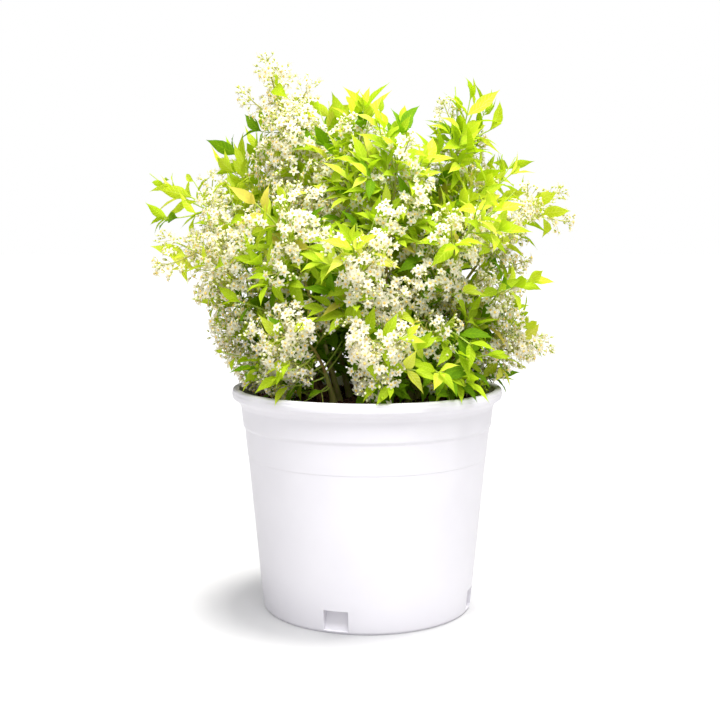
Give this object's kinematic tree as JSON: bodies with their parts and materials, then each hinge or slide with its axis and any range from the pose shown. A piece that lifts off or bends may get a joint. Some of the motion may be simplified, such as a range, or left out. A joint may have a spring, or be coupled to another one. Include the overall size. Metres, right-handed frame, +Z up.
{
  "type": "potted deutzia shrub",
  "caption": "Dwarf deutzia shrub with lime leaves and white star blossom, growing on arching canes in a plain tapered nursery pot.",
  "frame": {"origin": "centre of the pot's flat underside", "axes": "+Z up along the pot's axis; -Y is the front of the plant, +X its right side seen from the front"},
  "size_m": [0.4343, 0.3492, 0.5599],
  "materials": {
    "pot_plastic": "smooth white moulded polypropylene with a soft sheen",
    "soil": "damp dark bark and fibre mix",
    "bark": "thin brown bark with fine lengthwise flakes",
    "foliage": "thin lime green leaves, finely toothed",
    "blossom": "white star flowers with yellow anthers"
  },
  "bodies": {
    "root": {"arm_back_left": "foliage", "arm_back_right": "foliage", "arm_front_left": "foliage", "arm_front_right": "foliage", "arm_left": "foliage", "arm_left_low": "foliage", "arm_right": "foliage", "arm_right_high": "foliage", "cane_arm_back_left": "bark", "cane_arm_back_right": "bark", "cane_arm_front_left": "bark", "cane_arm_front_right": "bark", "cane_arm_left": "bark", "cane_arm_left_low": "bark", "cane_arm_right": "bark", "cane_arm_right_high": "bark", "cane_front_middle": "bark", "cane_side_back": "bark", "cane_side_left": "bark", "cane_side_right": "bark", "cane_skirt_back": "bark", "cane_skirt_back_left": "bark", "cane_skirt_back_right": "bark", "cane_skirt_front": "bark", "cane_skirt_front_left": "bark", "cane_skirt_front_right": "bark", "cane_skirt_left": "bark", "cane_skirt_right": "bark", "cane_spire_left": "bark", "cane_top_back": "bark", "cane_top_front": "bark", "cane_top_middle": "bark", "cane_top_right": "bark", "front_middle": "foliage", "pot": "pot_plastic", "side_back": "foliage", "side_left": "foliage", "side_right": "foliage", "skirt_back": "foliage", "skirt_back_left": "foliage", "skirt_back_right": "foliage", "skirt_front": "foliage", "skirt_front_left": "foliage", "skirt_front_right": "foliage", "skirt_left": "foliage", "skirt_right": "foliage", "soil": "soil", "spire_left": "foliage", "top_back": "foliage", "top_front": "foliage", "top_middle": "foliage", "top_right": "foliage"}
  },
  "joints": []
}
